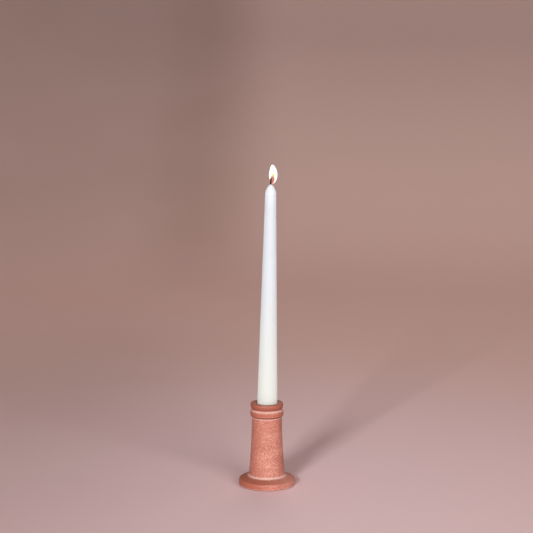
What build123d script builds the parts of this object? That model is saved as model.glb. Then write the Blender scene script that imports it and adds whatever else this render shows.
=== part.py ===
"""A dinner candle standing in a small cast candle holder.

The holder is one turned-looking casting: a round foot, a waisted column, and a collar of two bands under the mouth of
a blind socket. A felt disc sits in a recess under the foot. The candle is a straight taper with an ogive tip. Its
cotton wick runs through the wax from end to end, and its burnt tip stands out of the top.

Frame: the origin is the centre of the felt's underside, where the object stands. +Z is up, -Y is the front, and the
candle leans a little towards +X, as a candle does in a socket that is wider than its butt. Lengths are in millimetres.
"""

import os
from math import cos, radians, sin, tan

from build123d import *

# ---- Driving dimensions ----

# Holder
HOLDER_HEIGHT = 86.6
FOOT_DIAMETER = 58.2
FOOT_RIM_HEIGHT = 7.0  # from the table to where the sloping top of the foot begins
FOOT_TOP_HEIGHT = 9.6  # from the table to where the foot meets the cove
COLUMN_FOOT_DIAMETER = 37.2
COLUMN_WAIST_DIAMETER = 32.4
COLUMN_NECK_DIAMETER = 30.8
COLLAR_DIAMETER = 34.5
LIP_DIAMETER = 33.7

# Socket, for the common 22 mm candle
SOCKET_DIAMETER = 22.0
SOCKET_DEPTH = 24.6

# Felt disc
FELT_DIAMETER = 49.0
FELT_THICKNESS = 1.6
FELT_PROUD = 0.6  # how far it stands out of its recess
FELT_PLAY = 0.2  # radial room in the recess

# Candle
CANDLE_LENGTH = 250.0
BUTT_DIAMETER = 21.2
SHOULDER_DIAMETER = 11.1
TIP_LENGTH = 9.2
NOSE_DIAMETER = 2.7
CANDLE_LEAN = 0.9  # degrees, towards +X

# Wick
WICK_DIAMETER = 2.1
BURNT_STRAIGHT = 3.4  # the burnt tip stands straight, and then curls over
CURL_RADIUS = 9.0
CURL_ANGLE = 20.0  # degrees, towards +X

# ---- Values worked out from them ----

foot_radius = FOOT_DIAMETER / 2
collar_radius = COLLAR_DIAMETER / 2
lip_radius = LIP_DIAMETER / 2
neck_radius = COLUMN_NECK_DIAMETER / 2
socket_radius = SOCKET_DIAMETER / 2
socket_floor = HOLDER_HEIGHT - SOCKET_DEPTH
recess_radius = FELT_DIAMETER / 2 + FELT_PLAY
butt_radius = BUTT_DIAMETER / 2
shoulder_radius = SHOULDER_DIAMETER / 2
shoulder_height = CANDLE_LENGTH - TIP_LENGTH


def turned(outline):
    """The solid that an outline makes when it is turned about the Z axis."""
    section = Plane.XZ * make_face(outline)
    return revolve(section, Axis.Z)


def holder_body():
    """The casting, with the felt's recess below and the candle's socket above."""
    rim_round = 1.4
    underside = [
        Line((0, FELT_THICKNESS), (recess_radius, FELT_THICKNESS)),
        Line((recess_radius, FELT_THICKNESS), (recess_radius, FELT_PROUD)),
        Line((recess_radius, FELT_PROUD), (foot_radius - rim_round, FELT_PROUD)),
    ]

    # Foot: a rounded rim, a shallow cone, and a cove up to the column.
    rim_bottom = FELT_PROUD + rim_round
    rim_top = FOOT_RIM_HEIGHT - 2.2
    cone_start = (foot_radius - 1.3, FOOT_RIM_HEIGHT)
    cove_start = (COLUMN_FOOT_DIAMETER / 2 + 1.9, FOOT_TOP_HEIGHT)
    column_start = (COLUMN_FOOT_DIAMETER / 2, FOOT_TOP_HEIGHT + 3.2)
    foot = [
        RadiusArc((foot_radius - rim_round, FELT_PROUD), (foot_radius, rim_bottom), -rim_round),
        Line((foot_radius, rim_bottom), (foot_radius, rim_top)),
        ThreePointArc((foot_radius, rim_top), (foot_radius - 0.35, rim_top + 1.35), cone_start),
        Line(cone_start, cove_start),
        RadiusArc(cove_start, column_start, 3.4),
    ]

    # Column: one long hollow curve, and a fine bead where it ends.
    bead_height = HOLDER_HEIGHT - 15.6
    bead_start = (neck_radius, bead_height)
    bead_end = (neck_radius, bead_height + 1.0)
    waist = (COLUMN_WAIST_DIAMETER / 2, HOLDER_HEIGHT / 2 + 2.5)
    column = [
        ThreePointArc(column_start, waist, bead_start),
        ThreePointArc(bead_start, (neck_radius + 0.45, bead_height + 0.5), bead_end),
    ]

    # Collar: a band with a hollow under it and a wide bevel on top, that ends in a groove.
    band_bottom = (collar_radius - 0.8, bead_height + 2.0)
    band_edge = (collar_radius - 0.15, bead_height + 3.5)
    band_top = (collar_radius, bead_height + 7.0)
    bevel_start = (collar_radius - 0.2, bead_height + 7.5)
    bevel_end = (collar_radius - 1.3, bead_height + 9.2)
    groove = (collar_radius - 1.45, bead_height + 9.9)
    collar = [
        RadiusArc(bead_end, band_bottom, 1.4),
        ThreePointArc(band_bottom, (collar_radius - 0.35, bead_height + 2.65), band_edge),
        Line(band_edge, band_top),
        RadiusArc(band_top, bevel_start, -0.5),
        Line(bevel_start, bevel_end),
        RadiusArc(bevel_end, groove, 1.0),
    ]

    # Lip: a low roll that overhangs the groove, flat on top.
    top_round = 0.6
    roll_low = (lip_radius - 0.5, bead_height + 10.7)
    roll_high = (lip_radius - 0.15, HOLDER_HEIGHT - top_round)
    top_start = (roll_high[0] - top_round, HOLDER_HEIGHT)
    mouth_round = 0.7
    mouth = (socket_radius + mouth_round, HOLDER_HEIGHT)
    wall_top = (socket_radius, HOLDER_HEIGHT - mouth_round)
    lip = [
        Line(groove, roll_low),
        ThreePointArc(roll_low, (lip_radius, HOLDER_HEIGHT - 3.0), roll_high),
        RadiusArc(roll_high, top_start, -top_round),
        Line(top_start, mouth),
        RadiusArc(mouth, wall_top, -mouth_round),
    ]

    floor_round = 1.0
    wall_bottom = (socket_radius, socket_floor + floor_round)
    floor_edge = (socket_radius - floor_round, socket_floor)
    socket = [
        Line(wall_top, wall_bottom),
        RadiusArc(wall_bottom, floor_edge, floor_round),
        Line(floor_edge, (0, socket_floor)),
        Line((0, socket_floor), (0, FELT_THICKNESS)),
    ]
    return turned(underside + foot + column + collar + lip + socket)


def felt_pad():
    """The disc under the foot. It fills the recess and stands a little out of it."""
    disc = Cylinder(FELT_DIAMETER / 2, FELT_THICKNESS, align=(Align.CENTER, Align.CENTER, Align.MIN))
    lower_edge = disc.edges().group_by(Axis.Z)[0]
    return fillet(lower_edge, 0.3)


def candle_wax():
    """The wax, from its chamfered butt to its nose, with the wick's channel through it."""
    channel = WICK_DIAMETER / 2
    chamfer = 1.1
    radius_per_mm = (butt_radius - shoulder_radius) / shoulder_height
    chamfer_top = (butt_radius - chamfer * radius_per_mm, chamfer)
    nose_radius = NOSE_DIAMETER / 2
    nose_round = 0.4
    tip_bulge = (shoulder_radius - 1.35, CANDLE_LENGTH - 0.5 * TIP_LENGTH)
    nose_edge = (nose_radius, CANDLE_LENGTH - nose_round)
    return turned(
        [
            Line((channel, 0), (butt_radius - chamfer, 0)),
            Line((butt_radius - chamfer, 0), chamfer_top),
            Line(chamfer_top, (shoulder_radius, shoulder_height)),
            ThreePointArc((shoulder_radius, shoulder_height), tip_bulge, nose_edge),
            Line(nose_edge, (channel, CANDLE_LENGTH)),
            Line((channel, CANDLE_LENGTH), (channel, 0)),
        ]
    )


def wick():
    """The waxed cotton inside the candle. It is cut flush with the butt."""
    return Cylinder(WICK_DIAMETER / 2, CANDLE_LENGTH, align=(Align.CENTER, Align.CENTER, Align.MIN))


def burnt_wick_tip():
    """The charred cotton above the wax: straight, then curled over towards +X."""
    curl_start = (0, 0, CANDLE_LENGTH + BURNT_STRAIGHT)
    angle = radians(CURL_ANGLE)
    curl_middle = (
        CURL_RADIUS * (1 - cos(angle / 2)),
        0,
        CANDLE_LENGTH + BURNT_STRAIGHT + CURL_RADIUS * sin(angle / 2),
    )
    curl_end = (
        CURL_RADIUS * (1 - cos(angle)),
        0,
        CANDLE_LENGTH + BURNT_STRAIGHT + CURL_RADIUS * sin(angle),
    )
    path = Wire([Line((0, 0, CANDLE_LENGTH), curl_start), ThreePointArc(curl_start, curl_middle, curl_end)])
    start = Plane(origin=(0, 0, CANDLE_LENGTH), z_dir=(0, 0, 1))
    return sweep(start * Circle(WICK_DIAMETER / 2), path=path)


def seated(piece):
    """Puts a piece of the candle in the socket: leaning, with the low edge of its butt on the socket's floor."""
    low_edge_drop = butt_radius * sin(radians(CANDLE_LEAN))
    seat_gap = 0.05
    place = Location((0, 0, socket_floor + low_edge_drop + seat_gap), (0, CANDLE_LEAN, 0))
    return place * piece


def check_room():
    """The leaning candle clears the socket's wall at the butt and at the mouth."""
    radius_per_mm = (butt_radius - shoulder_radius) / shoulder_height
    mouth_shift = SOCKET_DEPTH * tan(radians(CANDLE_LEAN))
    room_at_butt = socket_radius - butt_radius
    room_at_mouth = socket_radius - (butt_radius - SOCKET_DEPTH * radius_per_mm) - mouth_shift
    assert min(room_at_butt, room_at_mouth) > 0.3, "the candle touches the socket's wall"


check_room()
sub_parts = {
    "holder_body": holder_body(),
    "felt_pad": felt_pad(),
    "candle_wax": seated(candle_wax()),
    "wick": seated(wick()),
    "burnt_wick_tip": seated(burnt_wick_tip()),
}
os.makedirs("parts", exist_ok=True)
for name, shape in sub_parts.items():
    export_step(shape, f"parts/{name}.step")
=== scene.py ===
"""A lit dinner candle in a small cast holder, on rose-grey studio paper under soft light.

The camera comes first. The sections then follow the object as it is put together: the holder, the felt
under its foot, the wick and the wax around it, the burnt end of the wick, and the flame. The paper and the
lights come last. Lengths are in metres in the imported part's frame, except in outlines and in names that end
in _mm. The origin is the middle of the felt's underside, +Z is up, -Y is the front, and the candle leans a
little towards +X.
"""

from math import ceil, cos, hypot, pi, radians, sin, sqrt

import bmesh
import bpy
from mathutils import Matrix, Vector


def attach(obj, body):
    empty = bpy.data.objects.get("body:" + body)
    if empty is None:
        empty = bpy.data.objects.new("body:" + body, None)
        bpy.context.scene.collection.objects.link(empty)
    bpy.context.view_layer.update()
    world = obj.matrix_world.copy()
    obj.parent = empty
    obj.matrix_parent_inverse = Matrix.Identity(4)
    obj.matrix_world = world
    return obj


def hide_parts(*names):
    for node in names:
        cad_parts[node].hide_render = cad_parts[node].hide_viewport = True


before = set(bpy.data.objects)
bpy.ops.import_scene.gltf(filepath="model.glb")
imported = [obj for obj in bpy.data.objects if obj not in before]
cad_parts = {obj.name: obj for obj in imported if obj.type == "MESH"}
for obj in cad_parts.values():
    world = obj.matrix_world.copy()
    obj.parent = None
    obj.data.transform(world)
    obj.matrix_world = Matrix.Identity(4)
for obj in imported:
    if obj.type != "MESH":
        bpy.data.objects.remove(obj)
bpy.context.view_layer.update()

# ---- Camera ----
# It stands 1.4 m in front of the candle, a little higher than the flame, and looks slightly down through a
# long lens, as a person looks at a candle from the far side of a table.
LOOK_DOWN = radians(7.68)

camera_data = bpy.data.cameras.new("camera")
camera_data.sensor_width = 36.0
camera_data.lens = 93.48
camera = bpy.data.objects.new("camera", camera_data)
camera.location = (-0.0004, -1.4, 0.4173)
camera.rotation_euler = (radians(90) - LOOK_DOWN, 0, 0)
bpy.context.scene.collection.objects.link(camera)
bpy.context.scene.camera = camera

# ---- Holder ----
# The holder is one casting in matt, brick-pink clay: a round foot, a waisted column, and a collar round the
# mouth of a blind socket for a 22 mm candle. It is poured in a mould taken from a turned pattern, so it is
# round, but its skin wanders by a tenth of a millimetre and has small pits where air was caught.
MM = 0.001
SAME_POINT = 0.002 * MM


def drawn_line(name, points_mm):
    """A line through points given in millimetres, as a curve object in metres."""
    data = bpy.data.curves.new(name, "CURVE")
    data.dimensions = "3D"
    spline = data.splines.new("POLY")
    spline.points.add(len(points_mm) - 1)
    for point, (x, y, z) in zip(spline.points, points_mm):
        point.co = (x * MM, y * MM, z * MM, 1)
    drawn = bpy.data.objects.new(name, data)
    bpy.context.scene.collection.objects.link(drawn)
    return drawn


class Outline:
    """Half the section of a turned piece, from its lower pole to its upper one: (radius, height) in mm."""

    spacing = 1.1
    arc_steps = 7

    def __init__(self, radius, height):
        self.points = [(radius, height)]

    def to(self, radius, height, bulge=0.0):
        """Goes straight to a point, or by an arc whose middle stands bulge mm out of the material."""
        r0, z0 = self.points[-1]
        length = hypot(radius - r0, height - z0)
        steps = max(ceil(length / self.spacing), self.arc_steps if bulge else 1)
        out_r, out_z = (height - z0) / length, (r0 - radius) / length
        for step in range(1, steps + 1):
            share = step / steps
            rise = 0.0
            if bulge:
                arc_radius = (length * length / 4 + bulge * bulge) / (2 * abs(bulge))
                along = (share - 0.5) * length
                rise = sqrt(arc_radius**2 - along**2) - (arc_radius - abs(bulge))
                rise = rise if bulge > 0 else -rise
            chord_r = r0 + (radius - r0) * share
            chord_z = z0 + (height - z0) * share
            self.points.append((chord_r + out_r * rise, chord_z + out_z * rise))
        return self

    def curve(self, name):
        """The outline as a curve object, flat in X and Y, for the turning rule to turn."""
        return drawn_line(name, [(radius, height, 0) for radius, height in self.points])


class Wire:
    """An output socket of a material or of a Geometry Nodes tree. Arithmetic on it adds Math nodes."""

    def __init__(self, socket):
        self.socket = socket

    def node(self, kind, settings, inputs, output=0):
        """Adds a node to this wire's tree: its settings first, then the values or wires of its sockets."""
        tree = self.socket.id_data
        made = tree.nodes.new(kind)
        for name, value in settings.items():
            setattr(made, name, value)
        for key, value in inputs.items():
            if isinstance(value, Wire):
                tree.links.new(value.socket, made.inputs[key])
            else:
                made.inputs[key].default_value = value
        return Wire(made.outputs[output])

    def maths(self, operation, *values):
        return self.node("ShaderNodeMath", {"operation": operation}, dict(enumerate(values)))

    def __add__(self, other):
        return self.maths("ADD", self, other)

    def __sub__(self, other):
        return self.maths("SUBTRACT", self, other)

    def __rsub__(self, other):
        return self.maths("SUBTRACT", other, self)

    def __mul__(self, other):
        return self.maths("MULTIPLY", self, other)

    def __truediv__(self, other):
        return self.maths("DIVIDE", self, other)

    def __pow__(self, other):
        return self.maths("POWER", self, other)

    __radd__ = __add__
    __rmul__ = __mul__

    def axis(self, name):
        return self.node("ShaderNodeSeparateXYZ", {}, {"Vector": self}, name)

    def from_axis(self):
        """The distance of a place from the Z axis."""
        return (self.axis("X") ** 2 + self.axis("Y") ** 2) ** 0.5

    def stretched(self, x, y, z):
        """This vector with its parts multiplied."""
        return self.node("ShaderNodeVectorMath", {"operation": "MULTIPLY"}, {0: self, 1: (x, y, z)})

    def noise(self, size, detail=2.0):
        """Soft noise from 0 to 1, whose blotches are about size metres across."""
        return self.node("ShaderNodeTexNoise", {}, {"Vector": self, "Scale": 1 / size, "Detail": detail})

    def cells(self, size, output="Distance"):
        """Scattered points about size metres apart: how far the nearest is, or its random colour."""
        return self.node("ShaderNodeTexVoronoi", {}, {"Vector": self, "Scale": 1 / size}, output)

    def rise(self, low, high):
        """0 below low and 1 above high, with a soft step between them. It falls if low is the larger."""
        settings = {"interpolation_type": "SMOOTHSTEP"}
        return self.node("ShaderNodeMapRange", settings, {"Value": self, "From Min": low, "From Max": high})

    def hill(self, middle, half_width):
        """1 at the middle, and 0 from half_width on either side of it."""
        away = self - middle
        return away.maths("ABSOLUTE", away).rise(half_width, 0.0)

    def tint(self, without, colour):
        """A colour, mixed over another by this wire. Either is a wire or an RGB triple."""
        inputs = {0: self}
        for key, value in ((6, without), (7, colour)):
            inputs[key] = value if isinstance(value, Wire) else (*value, 1.0)
        return self.node("ShaderNodeMix", {"data_type": "RGBA"}, inputs, 2)


class Rule:
    """A Geometry Nodes tree with named inputs. It ends in Realize Instances and Set Material."""

    def __init__(self, name, **sizes):
        self.tree = bpy.data.node_groups.new(name, "GeometryNodeTree")
        self.tree.interface.new_socket("Geometry", in_out="OUTPUT", socket_type="NodeSocketGeometry")
        self.tree.interface.new_socket("Drawn", in_out="INPUT", socket_type="NodeSocketGeometry")
        for size, kind in sizes.items():
            self.tree.interface.new_socket(size, in_out="INPUT", socket_type="NodeSocket" + kind)
        self.tree.interface.new_socket("Finish", in_out="INPUT", socket_type="NodeSocketMaterial")
        self.inputs = self.tree.nodes.new("NodeGroupInput")

    def __getitem__(self, name):
        return Wire(self.inputs.outputs[name])

    def field(self, kind, output=0):
        return Wire(self.tree.nodes.new(kind).outputs[output])

    def end(self, geometry):
        """Closes the tree: doubles merged, smooth, realised, in its material."""
        merged = geometry.node(
            "GeometryNodeMergeByDistance", {}, {"Geometry": geometry, "Distance": SAME_POINT}
        )
        smooth = merged.node("GeometryNodeSetShadeSmooth", {}, {"Geometry": merged})
        real = smooth.node("GeometryNodeRealizeInstances", {}, {"Geometry": smooth})
        dressed = real.node("GeometryNodeSetMaterial", {}, {"Geometry": real, "Material": self["Finish"]})
        output = self.tree.nodes.new("NodeGroupOutput")
        self.tree.links.new(dressed.socket, output.inputs[0])

    def make(self, name, drawn, place=Matrix.Identity(4), **values):
        """Runs the tree on a drawn curve, which is used up, and returns a plain mesh piece in its place."""
        modifier = drawn.modifiers.new("rule", "NODES")
        modifier.node_group = self.tree
        for item in self.tree.interface.items_tree:
            if item.name in values:
                modifier[item.identifier] = values[item.name]
        depsgraph = bpy.context.evaluated_depsgraph_get()
        mesh = bpy.data.meshes.new_from_object(drawn.evaluated_get(depsgraph), depsgraph=depsgraph)
        bpy.data.objects.remove(drawn)
        mesh.transform(place)
        shell = bmesh.new()
        shell.from_mesh(mesh)
        bmesh.ops.recalc_face_normals(shell, faces=shell.faces)
        shell.to_mesh(mesh)
        shell.free()
        piece = bpy.data.objects.new(name, mesh)
        bpy.context.scene.collection.objects.link(piece)
        return piece


def turning_rule():
    """Turns an outline about Z. The skin then wanders along its normals by soft noise."""
    rule = Rule("turned", Facets="Int", Wander="Float", Blotch="Float", Seed="Float")
    arbor = 1.0 * MM
    ring = rule["Facets"].node(
        "GeometryNodeCurvePrimitiveCircle", {}, {"Resolution": rule["Facets"], "Radius": arbor}
    )
    ring = ring.node("GeometryNodeSetCurveNormal", {"mode": "Z_UP"}, {0: ring})
    outline = ring.node(
        "GeometryNodeTransform",
        {},
        {"Geometry": rule["Drawn"], "Translation": (-arbor, 0, 0), "Scale": (1, -1, 1)},
    )
    skin = ring.node("GeometryNodeCurveToMesh", {}, {"Curve": ring, "Profile Curve": outline})
    skin = skin.node("GeometryNodeMergeByDistance", {}, {"Geometry": skin, "Distance": SAME_POINT})
    place = rule.field("GeometryNodeInputPosition")
    noise = place.node(
        "ShaderNodeTexNoise",
        {"noise_dimensions": "4D"},
        {"Vector": place, "W": rule["Seed"], "Scale": rule["Blotch"] ** -1, "Detail": 3.0},
    )
    normal = rule.field("GeometryNodeInputNormal")
    offset = normal.node(
        "ShaderNodeVectorMath",
        {"operation": "SCALE"},
        {0: normal, "Scale": (noise - 0.5) * rule["Wander"]},
    )
    rule.end(skin.node("GeometryNodeSetPosition", {}, {"Geometry": skin, "Offset": offset}))
    return rule


def new_finish(name, **constants):
    """A material with one Principled shader, and the wire of the piece's own coordinates."""
    finish = bpy.data.materials.new(name)
    finish.use_nodes = True
    shader = finish.node_tree.nodes["Principled BSDF"]
    for socket, value in constants.items():
        shader.inputs[socket.replace("_", " ")].default_value = value
    return finish, shader, Wire(finish.node_tree.nodes.new("ShaderNodeTexCoord").outputs["Object"])


def feed(shader, **wires):
    """Joins wires to the shader's sockets."""
    for socket, wire in wires.items():
        shader.id_data.links.new(wire.socket, shader.inputs[socket.replace("_", " ")])


def relief(height_mm):
    """The normal of a surface that is raised by a wire's value, in millimetres."""
    return height_mm.node("ShaderNodeBump", {}, {"Strength": 1.0, "Distance": MM, "Height": height_mm})


def cast_clay():
    """Brick-pink clay: clouded, grainy and specked, and pitted, with the pits darkened as painted shade. Its
    ridges are pale as a painted highlight, and the front of the column is paler as a painted sheen. Its
    grooves, the lip and the top of the foot are darkened as painted shade, and it is browner all over towards
    -X as painted shade on that side."""
    finish, shader, place = new_finish("cast_clay", Specular_IOR_Level=0.6)
    height = place.axis("Z")
    radius = place.from_axis()
    clouds = place.noise(16 * MM, 3.0)
    grain = place.noise(1.5 * MM, 3.0)
    dust = place.noise(0.8 * MM, 2.0)
    marks = place.stretched(0.12, 0.12, 1).noise(4.5 * MM, 2.0).rise(0.35, 0.65)
    dot_shape = place.cells(2.6 * MM)
    dot_pick = place.cells(2.6 * MM, "Color").axis("X")
    specks = dot_shape.rise(0.28, 0.16) * dot_pick.rise(0.52, 0.57)
    pit_shape = place.cells(5.5 * MM)
    pit_pick = place.cells(5.5 * MM, "Color").axis("Y")
    pits = pit_shape.rise(0.13, 0.05) * pit_pick.rise(0.6, 0.65)

    bevel = height.hill(79.4 * MM, 1.3 * MM)
    bead = height.hill(71.5 * MM, 0.9 * MM)
    cove = height.hill(10.6 * MM, 1.6 * MM) * radius.rise(22.2 * MM, 20.4 * MM)
    ridges = bevel + bead * 0.9 + cove
    foot_edge = height.hill(1.3 * MM, 0.9 * MM) * radius.rise(27.0 * MM, 28.0 * MM)
    foot_top = height.rise(6.2 * MM, 7.2 * MM) * radius.rise(19.6 * MM, 20.6 * MM)
    foot_rim = height.rise(7.0 * MM, 5.6 * MM)
    lip = height.rise(80.9 * MM, 81.7 * MM)
    band = height.hill(76.0 * MM, 2.6 * MM)
    groove = height.hill(73.2 * MM, 1.25 * MM) + height.hill(81.2 * MM, 0.7 * MM)

    # The pale grain shows at random, and more strongly on the front of the column, where it is a painted
    # sheen.
    front_sheen = height.hill(31 * MM, 27 * MM) * place.axis("X").hill(4 * MM, 14 * MM)
    grain_and_sheen = 0.24 + 0.36 * clouds.rise(0.35, 0.65) + 0.6 * front_sheen
    colour = (0.6 * clouds.rise(0.3, 0.7) + 0.4 * marks).tint((0.48, 0.175, 0.127), (0.60, 0.265, 0.205))
    colour = (grain.rise(0.42, 0.66) * grain_and_sheen).tint(colour, (0.75, 0.44, 0.37))
    colour = (dust.rise(0.52, 0.7) * 0.55).tint(colour, (0.32, 0.105, 0.078))
    # Browner towards -X: painted shade on that side, a little over the whole casting and more on the rim and
    # top of the foot.
    left_shade = place.axis("X").rise(22 * MM, -30 * MM)
    # The top of the foot and the lip are darkened as painted shade, the lip more towards its bottom.
    shaded = 0.78 + 0.17 * height.rise(85.5 * MM, 82.0 * MM)
    colour = (foot_top * (0.3 + 0.5 * left_shade) + lip * shaded).tint(colour, (0.37, 0.115, 0.075))
    colour = (band * 0.7 + foot_rim * left_shade + 0.22 * left_shade).tint(colour, (0.45, 0.15, 0.095))
    # The grooves under and over the lower band of the collar are darkened as painted shade.
    colour = (groove * 0.9).tint(colour, (0.13, 0.035, 0.026))
    colour = (specks * 0.7).tint(colour, (0.25, 0.07, 0.05))
    # The bevel, the bead and the cove are tinted pale: a painted highlight, where they face the light from
    # above.
    colour = (ridges * (0.5 + 0.4 * grain)).tint(colour, (0.80, 0.61, 0.56))
    # A pale line along the bottom edge of the foot: a painted highlight of light from the floor.
    colour = (foot_edge * 0.55 * grain.rise(0.3, 0.55)).tint(colour, (0.86, 0.64, 0.57))
    # The pits are darkened as painted shade in their hollows.
    colour = (pits * 0.6).tint(colour, (0.24, 0.07, 0.05))
    rough = 0.50 + 0.16 * (clouds - 0.5) + 0.12 * (dust - 0.5) - 0.14 * ridges + 0.2 * pits
    bumps = 0.05 * grain + 0.03 * dust - 0.16 * pits
    feed(shader, Base_Color=colour, Roughness=rough, Normal=relief(bumps))
    return finish


turned = turning_rule()
clay = cast_clay()

holder_outline = Outline(0, 1.6).to(24.7, 1.6).to(24.7, 0.6)
holder_outline.to(27.7, 0.6).to(29.1, 2.0, 0.41).to(29.1, 4.8).to(27.8, 7.0, 0.39)
holder_outline.to(20.5, 9.6).to(18.6, 12.8, -0.55)
holder_outline.to(15.4, 71.0, -0.61).to(15.4, 72.0, 0.45)
holder_outline.to(16.45, 73.0, -0.21).to(17.1, 74.5, 0.16).to(17.25, 78.0)
holder_outline.to(17.05, 78.5, 0.08).to(15.95, 80.2).to(15.8, 80.9, -0.06)
holder_outline.to(16.35, 81.7).to(16.7, 86.0, 0.32).to(16.1, 86.6, 0.18)
holder_outline.to(11.7, 86.6).to(11.0, 85.9, 0.2).to(11.0, 63.0).to(10.0, 62.0, -0.29).to(0, 62.0)
holder = turned.make(
    "holder",
    holder_outline.curve("holder_outline"),
    Facets=288,
    Wander=0.22 * MM,
    Blotch=15 * MM,
    Seed=3.0,
    Finish=clay,
)
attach(holder, "holder")
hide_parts("holder_body")

# ---- Felt ----
# A disc of brown wool felt is glued into the recess under the foot and stands 0.6 mm out of it, so that the
# casting doesn't scratch a table. It is punched from sheet felt.
FELT_RADIUS_MM = 24.5
FELT_THICKNESS_MM = 1.6


def wool_felt():
    """Pressed wool: matted fibres in two browns, with paler hairs."""
    finish, shader, place = new_finish(
        "wool_felt", Sheen_Weight=0.35, Sheen_Roughness=0.6, Specular_IOR_Level=0.2
    )
    mat = place.stretched(1, 1, 0.4).noise(0.9 * MM, 4.0)
    hairs = place.stretched(3.0, 0.5, 1).noise(0.8 * MM, 2.0)
    colour = mat.rise(0.3, 0.7).tint((0.075, 0.048, 0.036), (0.15, 0.10, 0.075))
    colour = (hairs.rise(0.6, 0.75) * 0.5).tint(colour, (0.24, 0.17, 0.13))
    feed(shader, Base_Color=colour, Roughness=0.86 + 0.1 * mat, Normal=relief(0.18 * mat + 0.1 * hairs))
    return finish


felt_outline = Outline(0, 0).to(FELT_RADIUS_MM - 0.3, 0).to(FELT_RADIUS_MM, 0.3, 0.09)
felt_outline.to(FELT_RADIUS_MM, FELT_THICKNESS_MM).to(0, FELT_THICKNESS_MM)
felt = turned.make(
    "felt_disc",
    felt_outline.curve("felt_outline"),
    Facets=160,
    Wander=0.0,
    Blotch=2 * MM,
    Seed=8.0,
    Finish=wool_felt(),
)
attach(felt, "holder")
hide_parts("felt_pad")

# ---- Wick ----
# The wick is a plait of cotton threads that runs through the wax from end to end and is cut flush with the
# butt. Only its burnt end shows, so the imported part's own solid is kept for the rest, in a cotton finish.


def cotton_plait():
    """Waxed cotton: cream threads that cross in a fine slanting weave."""
    finish, shader, place = new_finish("cotton_plait")
    thread = place.node(
        "ShaderNodeTexWave",
        {"bands_direction": "DIAGONAL"},
        {"Vector": place, "Scale": 900.0, "Distortion": 1.5},
        "Fac",
    )
    colour = thread.tint((0.62, 0.57, 0.46), (0.82, 0.79, 0.70))
    feed(shader, Base_Color=colour, Roughness=0.62 + 0.2 * thread, Normal=relief(0.12 * thread))
    return finish


wick_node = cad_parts["wick"]
wick_node.data.materials.clear()
wick_node.data.materials.append(cotton_plait())

# ---- Candle ----
# The candle is a dipped taper of white stearin wax, 250 mm long. It is 21 mm across at the butt and 11 mm
# at the shoulder, where the ogive tip begins. It stands loose in its socket, which is wider than the butt,
# so it leans, with the low edge of the butt just over the socket's floor.
LEAN = radians(0.9)
SOCKET_FLOOR_MM = 62.0
BUTT_RADIUS_MM = 10.6
SEAT_GAP_MM = 0.05
BUTT_HEIGHT = (SOCKET_FLOOR_MM + BUTT_RADIUS_MM * sin(LEAN) + SEAT_GAP_MM) * MM
in_socket = Matrix.Translation((0, 0, BUTT_HEIGHT)) @ Matrix.Rotation(LEAN, 4, "Y")


def dipped_wax():
    """White wax, faintly rippled, and glossier near the flame. Light sinks into it, and from the mouth up it
    has a painted glow, in place of the light that real wax scatters inside. The glow is brightest near the
    flame, as painted light from the flame."""
    finish, shader, place = new_finish(
        "dipped_wax",
        Subsurface_Weight=0.9,
        Sheen_Weight=0.3,
        Sheen_Roughness=0.45,
        Subsurface_Radius=(0.9, 1.0, 0.95),
        Subsurface_Scale=12 * MM,
        Emission_Strength=0.32,
        Specular_IOR_Level=0.42,
    )
    height = place.axis("Z")
    runs = place.stretched(1, 1, 0.12).noise(5 * MM, 2.0)
    skin = place.noise(1.1 * MM, 2.0)
    smudges = place.noise(22 * MM, 3.0)
    near_flame = height.rise(285 * MM, 311 * MM)
    lower = height.rise(240 * MM, 90 * MM)
    fleck_shape = place.cells(9 * MM)
    fleck_pick = place.cells(9 * MM, "Color").axis("Z")
    flecks = fleck_shape.rise(0.055, 0.03) * fleck_pick.rise(0.72, 0.76)
    colour = lower.tint((0.42, 0.455, 0.48), (0.43, 0.455, 0.44))
    colour = (runs.rise(0.45, 0.75) * 0.25).tint(colour, (0.46, 0.485, 0.47))
    colour = (smudges.rise(0.55, 0.8) * 0.3).tint(colour, (0.40, 0.42, 0.395))
    colour = (flecks * 0.35).tint(colour, (0.40, 0.36, 0.29))
    rough = 0.40 + 0.14 * (smudges - 0.5) + 0.1 * (skin - 0.5) - 0.2 * near_flame
    # The glow is painted light, and near the flame it stands in for the flame's light on the wax.
    glow = lower.tint((0.86, 0.90, 1.0), (0.97, 1.0, 0.94))
    glow = height.rise(60 * MM, 100 * MM).tint((0, 0, 0), glow)
    glow = (near_flame * 0.4).tint(glow, (1.45, 1.5, 1.65))
    bumps = 0.05 * runs + 0.012 * skin
    feed(shader, Emission_Color=glow, Base_Color=colour, Roughness=rough, Normal=relief(bumps))
    return finish


candle_outline = Outline(0, 0).to(9.5, 0).to(10.58, 1.1, 0.1)
candle_outline.spacing = 2.4
candle_outline.to(10.35, 25.0).to(5.62, 240.8)
candle_outline.spacing = 0.6
candle_outline.to(1.35, 249.6, 0.95).to(1.05, 250.15, -0.07).to(0, 250.15)
candle = turned.make(
    "candle",
    candle_outline.curve("candle_outline"),
    in_socket,
    Facets=144,
    Wander=0.16 * MM,
    Blotch=18 * MM,
    Seed=5.0,
    Finish=dipped_wax(),
)
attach(candle, "candle")
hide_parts("candle_wax")

# ---- Burnt wick ----
# Where the wick has burnt it is a short, black, brittle plait of three strands that cross over each other.
# Its end curls towards the hot edge of the flame, where it still glows.
CANDLE_LENGTH_MM = 250.0
BURNT_STRAIGHT_MM = 3.4
CURL_RADIUS_MM = 9.0
CURL_ANGLE = radians(20)


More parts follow.
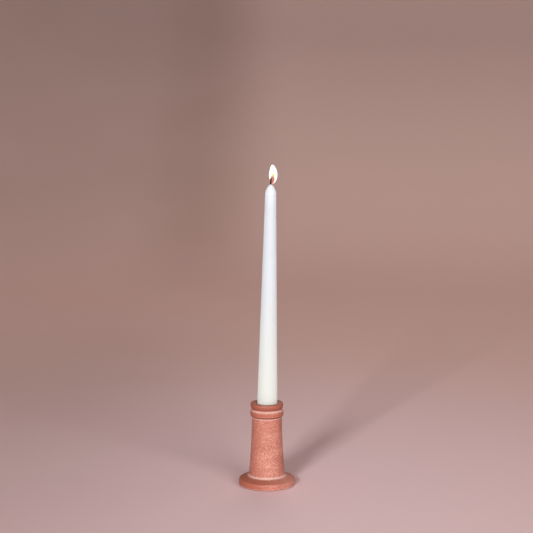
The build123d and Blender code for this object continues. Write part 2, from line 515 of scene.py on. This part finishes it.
def plait_rule():
    """Copies a path as strands that cross like a plait, gives them thickness, and roughens them."""
    sizes = dict.fromkeys(("Crossings", "Width", "Depth", "Thickness", "Seed"), "Float")
    rule = Rule("plait", Strands="Int", **sizes)
    path = rule["Drawn"].node("GeometryNodeResampleCurve", {}, {"Curve": rule["Drawn"], "Count": 64})
    copies = path.node(
        "GeometryNodeDuplicateElements", {"domain": "SPLINE"}, {"Geometry": path, "Amount": rule["Strands"]}
    )
    index = Wire(copies.socket.node.outputs["Duplicate Index"])
    share = rule.field("GeometryNodeSplineParameter", "Factor")
    turn = (share * rule["Crossings"] + index / rule["Strands"]) * (2 * pi)
    across = turn.maths("SINE", turn) * rule["Width"]
    through = turn.maths("SINE", turn * 2) * rule["Depth"]
    normal = rule.field("GeometryNodeInputNormal")
    tangent = rule.field("GeometryNodeInputTangent")
    binormal = normal.node("ShaderNodeVectorMath", {"operation": "CROSS_PRODUCT"}, {0: tangent, 1: normal})
    sideways = normal.node("ShaderNodeVectorMath", {"operation": "SCALE"}, {0: normal, "Scale": through})
    offset = binormal.node(
        "ShaderNodeVectorMath", {"operation": "MULTIPLY_ADD"}, {0: binormal, 1: across, 2: sideways}
    )
    strands = copies.node("GeometryNodeSetPosition", {}, {"Geometry": copies, "Offset": offset})
    taper = 1 - share.rise(0.75, 1.05) * 0.5
    strands = strands.node("GeometryNodeSetCurveRadius", {}, {"Curve": strands, "Radius": taper})
    section = rule["Thickness"].node(
        "GeometryNodeCurvePrimitiveCircle", {}, {"Resolution": 12, "Radius": rule["Thickness"]}
    )
    radius = rule.field("GeometryNodeInputRadius")
    skin = strands.node(
        "GeometryNodeCurveToMesh",
        {},
        {"Curve": strands, "Profile Curve": section, "Scale": radius, "Fill Caps": True},
    )
    place = rule.field("GeometryNodeInputPosition")
    crumble = place.node(
        "ShaderNodeTexNoise",
        {"noise_dimensions": "4D"},
        {"Vector": place, "W": rule["Seed"], "Scale": 1 / (0.35 * MM), "Detail": 3.0},
    )
    outward = rule.field("GeometryNodeInputNormal")
    rough = outward.node(
        "ShaderNodeVectorMath", {"operation": "SCALE"}, {0: outward, "Scale": (crumble - 0.5) * (0.22 * MM)}
    )
    rule.end(skin.node("GeometryNodeSetPosition", {}, {"Geometry": skin, "Offset": rough}))
    return rule


def charred_cotton():
    """Char: black and dull, with a trace of brown ash, a faint red glow, and an ember at the curled end."""
    finish, shader, place = new_finish("charred_cotton", Emission_Strength=0.5, Specular_IOR_Level=0.05)
    ash = place.noise(0.5 * MM, 3.0)
    ember = place.axis("Z").rise(317.2 * MM, 318.6 * MM) * place.noise(0.8 * MM).rise(0.35, 0.6)
    colour = (ash.rise(0.6, 0.85) * 0.6).tint((0.02, 0.003, 0.002), (0.05, 0.02, 0.014))
    feed(
        shader,
        Base_Color=colour,
        Roughness=0.8 + 0.15 * ash,
        Emission_Color=ember.tint((0.06, 0.003, 0.0), (1.0, 0.12, 0.02)),
        Normal=relief(0.15 * ash),
    )
    return finish


def burnt_path():
    """The line of the burnt end: up out of the wax, then round in an arc towards +X."""
    start_mm = CANDLE_LENGTH_MM - 0.6
    bend_mm = CANDLE_LENGTH_MM + BURNT_STRAIGHT_MM
    steps = 12
    points = [(0, start_mm), (0, 0.5 * (start_mm + bend_mm)), (0, bend_mm)]
    for step in range(1, steps + 1):
        angle = CURL_ANGLE * step / steps
        points.append((CURL_RADIUS_MM * (1 - cos(angle)), bend_mm + CURL_RADIUS_MM * sin(angle)))
    return drawn_line("burnt_path", [(x, 0, z) for x, z in points])


burnt_wick = plait_rule().make(
    "burnt_wick",
    burnt_path(),
    in_socket,
    Strands=3,
    Crossings=1.6,
    Width=0.6 * MM,
    Depth=0.3 * MM,
    Thickness=0.47 * MM,
    Seed=2.0,
    Finish=charred_cotton(),
)
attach(burnt_wick, "candle")
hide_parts("burnt_wick_tip")

# ---- Flame ----
# The flame is hot gas and no solid, so it isn't a part, but a lit candle shows it. It is an egg of white
# light, 19.5 mm high, that the draught carries off the wick towards +X. Near the wick it is clear and glows
# red, under a yellow-green cap.
FLAME_FOOT = (5.6 * MM, 312.9 * MM)
FLAME_HEIGHT = 19.5 * MM
FLAME_HALF_WIDTH = 4.15 * MM


def flame_rule():
    """Gives a path the section of a flame: round, fullest near the middle, and pointed at both ends."""
    rule = Rule("flame", Half_Width="Float", Fullness="Float")
    path = rule["Drawn"].node("GeometryNodeResampleCurve", {}, {"Curve": rule["Drawn"], "Count": 72})
    half_turn = rule.field("GeometryNodeSplineParameter", "Factor") ** 0.9 * pi
    swell = half_turn.maths("SINE", half_turn)
    swell = swell.maths("MAXIMUM", swell, 0.0)
    radius = swell ** rule["Fullness"] * rule["Half_Width"]
    path = path.node("GeometryNodeSetCurveRadius", {}, {"Curve": path, "Radius": radius})
    section = path.node("GeometryNodeCurvePrimitiveCircle", {}, {"Resolution": 64, "Radius": 1.0})
    own_radius = rule.field("GeometryNodeInputRadius")
    skin = path.node(
        "GeometryNodeCurveToMesh", {}, {"Curve": path, "Profile Curve": section, "Scale": own_radius}
    )
    rule.end(skin)
    return rule


def burning_wax():
    """White-hot soot above, and around the wick a clear zone that glows red under a yellow-green cap."""
    finish, shader, place = new_finish(
        "burning_wax", Base_Color=(0, 0, 0, 1), Roughness=1.0, Specular_IOR_Level=0.0, Emission_Strength=1.25
    )
    height = place.axis("Z")
    across = place.axis("X") - (height - 313.3 * MM) * 0.16

    def zone(x_mm, z_mm, half_width_mm, half_height_mm, core):
        """A soft upright ellipse, which leans with the flame: 1 inside its core, and 0 well outside it."""
        from_side = (across - x_mm * MM) / (half_width_mm * MM)
        from_level = (height - z_mm * MM) / (half_height_mm * MM)
        return (from_side**2 + from_level**2).rise(1.5, core)

    wick_side = zone(3.65, 315.9, 1.5, 4.4, 0.75)
    clear = zone(4.9, 316.6, 2.5, 4.6, 0.1)
    cap = zone(4.9, 321.8, 2.2, 3.2, 0.0)
    colour = cap.tint((1.0, 0.97, 0.93), (0.64, 0.59, 0.34))
    colour = clear.tint(colour, (0.50, 0.13, 0.075))
    seen = (1 - 0.6 * clear) * (1 - 0.85 * wick_side)
    feed(shader, Emission_Color=colour, Alpha=seen)
    return finish


def flame_path():
    """The middle line of the flame: upright, and bowed a little towards +X by the draught."""
    data = bpy.data.curves.new("flame_path", "CURVE")
    data.dimensions = "3D"
    spline = data.splines.new("BEZIER")
    spline.resolution_u = 24
    spline.bezier_points.add(2)
    foot_x, foot_z = FLAME_FOOT
    places = [(0.0, 0.0), (0.8 * MM, 0.5 * FLAME_HEIGHT), (0.0, FLAME_HEIGHT)]
    for point, (x, z) in zip(spline.bezier_points, places):
        point.co = (foot_x + x, 0, foot_z + z)
        point.handle_left_type = point.handle_right_type = "AUTO"
    drawn = bpy.data.objects.new("flame_path", data)
    bpy.context.scene.collection.objects.link(drawn)
    return drawn


flame = flame_rule().make(
    "flame", flame_path(), Half_Width=FLAME_HALF_WIDTH, Fullness=0.6, Finish=burning_wax()
)
flame.visible_diffuse = False
flame.visible_shadow = False
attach(flame, "candle")

# ---- Paper ----
# The candle stands on a round sweep of rose-grey studio paper, which turns up into a wall all round, behind
# the lights. It isn't part of the object.


def studio_paper():
    """Matt paper, faintly cloudy and darker in front. It is darker on the left as painted shade, and along a
    soft vertical band on the wall behind as a painted shadow.
    """
    finish, shader, place = new_finish("studio_paper", Roughness=0.9, Specular_IOR_Level=0.15)
    reach = place.from_axis()
    mottle = place.noise(0.25, 2.0)
    # Darker towards the left of the floor: painted shade.
    edge = place.axis("X").rise(0.1, -0.3) * (0.3 - 0.27 * reach.hill(1.4, 1.0))
    # A soft dark vertical band on the wall behind, left of the candle: a painted shadow.
    wall_shadow_band = place.axis("X").hill(-0.16, 0.2) * reach.rise(1.0, 2.0)
    front = place.axis("Y").rise(-0.25, -1.1)
    colour = reach.rise(0.1, 0.8).tint((0.93, 0.73, 0.77), (0.89, 0.665, 0.64))
    colour = reach.rise(1.2, 2.6).tint(colour, (0.96, 0.76, 0.725))
    colour = edge.tint(colour, (0.28, 0.20, 0.19))
    colour = (wall_shadow_band * 0.22).tint(colour, (0.42, 0.28, 0.23))
    colour = (front * 0.95).tint(colour, (0.22, 0.155, 0.15))
    colour = (mottle.rise(0.35, 0.75) * 0.10).tint(colour, (0.88, 0.74, 0.74))
    feed(shader, Base_Color=colour, Normal=relief(0.1 * place.noise(1.5 * MM, 2.0)))
    return finish


paper_outline = Outline(0, 0)
paper_outline.spacing = 200.0
paper_outline.arc_steps = 20
paper_outline.to(1500, 0).to(3600, 2100, 615).to(3600, 3200)
paper = turned.make(
    "paper",
    paper_outline.curve("paper_outline"),
    Facets=96,
    Wander=0.0,
    Blotch=1.0,
    Seed=1.0,
    Finish=studio_paper(),
)

# ---- Lights ----
# Two soft boxes stand in front, one on each side, so that both flanks of the column fall away into shade. A
# small box overhead puts a line of light on the collar's bevel, where a highlight is also painted, and a weak
# one behind keeps the back from going black.
AIM = Vector((0, 0, 0.16))


def soft_box(name, azimuth, elevation, distance, size, watts, colour):
    """A square light that faces the candle. Azimuth 0 is straight in front, and 90 is to the right."""
    data = bpy.data.lights.new(name, "AREA")
    data.shape = "SQUARE"
    data.size = size
    data.energy = watts
    data.color = colour
    box = bpy.data.objects.new(name, data)
    a, e = radians(azimuth), radians(elevation)
    away = Vector((sin(a) * cos(e), -cos(a) * cos(e), sin(e)))
    box.location = AIM + away * distance
    box.rotation_euler = away.to_track_quat("Z", "Y").to_euler()
    box.visible_camera = False
    bpy.context.scene.collection.objects.link(box)


soft_box("left_box", -20.5, 18, distance=2.8, size=0.5, watts=46.0, colour=(1.0, 0.985, 0.96))
soft_box("right_box", 30, 12, distance=2.8, size=1.5, watts=46.0, colour=(1.0, 0.955, 0.92))
soft_box("top_box", 10, 84, distance=1.5, size=0.35, watts=1.15, colour=(1.0, 0.96, 0.93))
soft_box("back_box", 170, 42, distance=2.4, size=1.3, watts=6.5, colour=(1.0, 0.90, 0.80))

world = bpy.data.worlds.new("world")
world.use_nodes = True
world.node_tree.nodes["Background"].inputs["Color"].default_value = (0.03, 0.022, 0.018, 1.0)
bpy.context.scene.world = world
bpy.context.scene.view_settings.view_transform = "Standard"
bpy.context.scene.view_settings.look = "Medium High Contrast"
